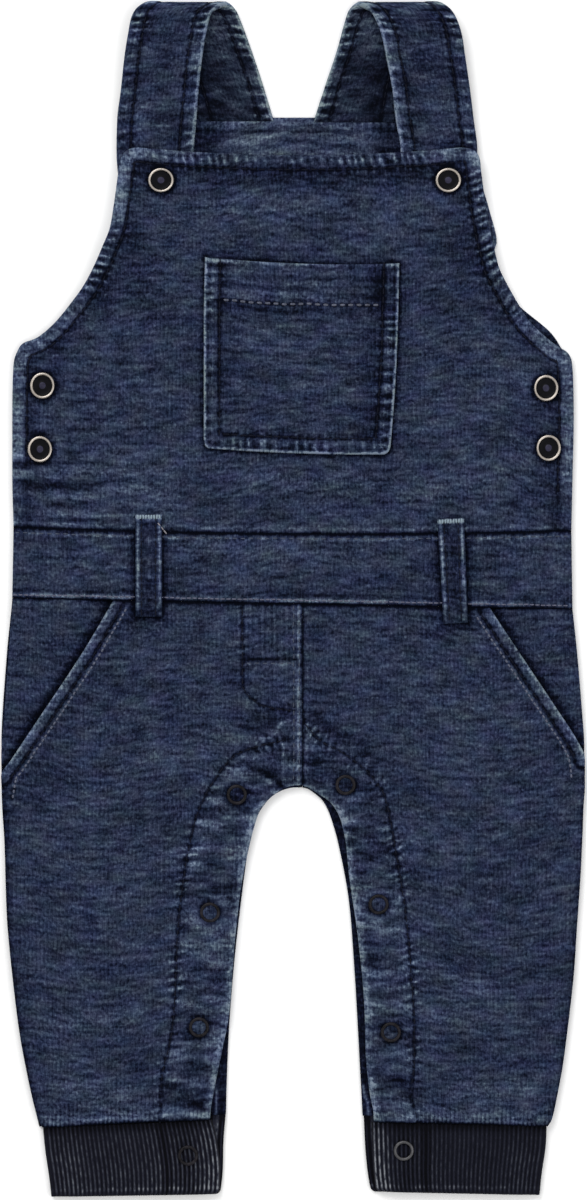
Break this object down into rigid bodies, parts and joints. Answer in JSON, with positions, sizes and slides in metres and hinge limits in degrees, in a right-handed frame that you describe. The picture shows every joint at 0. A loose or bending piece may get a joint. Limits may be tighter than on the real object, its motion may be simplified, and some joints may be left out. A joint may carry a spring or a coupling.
{
  "type": "kids dungarees",
  "caption": "Baby dungarees laid flat: bib with patch pocket, snapped shoulder straps, waistband with belt loops, slanted pockets, snapped inseams and rib cuffs.",
  "frame": {"origin": "on the surface that the garment lies on, under the middle of its outline", "axes": "+X across the garment, from the viewer's left to right when seen from the front; +Y up the garment, from the cuffs to the straps; +Z out of the surface, towards whoever looks at the front"},
  "size_m": [0.2395, 0.4894, 0.0082],
  "materials": {
    "denim": "washed indigo sweat denim, right side, matt and slubby",
    "denim_inside": "indigo sweat denim seen from its wrong side, matt",
    "rib_knit": "navy-black double rib knit, matt",
    "snap_metal": "satin silver ring round a black dished cap",
    "dark_metal": "dark bronze ring, satin"
  },
  "bodies": {
    "root": {"back_panel": "denim_inside", "back_waistband": "denim_inside", "back_leg_left": "denim_inside", "back_leg_right": "denim_inside", "front_bib": "denim", "bib_pocket": "denim", "front_waistband": "denim", "belt_loop_left": "denim", "belt_loop_right": "denim", "front_leg_left": "denim", "front_leg_right": "denim", "side_pocket_facing_left": "denim", "side_pocket_facing_right": "denim", "strap_left": "denim", "strap_right": "denim", "cuff_left": "rib_knit", "cuff_right": "rib_knit", "bib_snap_left": "snap_metal", "bib_snap_right": "snap_metal", "side_snap_left_upper": "snap_metal", "side_snap_left_lower": "snap_metal", "side_snap_right_upper": "snap_metal", "side_snap_right_lower": "snap_metal", "inseam_ring_left_top": "dark_metal", "inseam_ring_left_middle": "dark_metal", "inseam_ring_left_bottom": "dark_metal", "inseam_ring_right_top": "dark_metal", "inseam_ring_right_middle": "dark_metal", "inseam_ring_right_bottom": "dark_metal", "cuff_ring_left": "dark_metal", "cuff_ring_right": "dark_metal"}
  },
  "joints": []
}
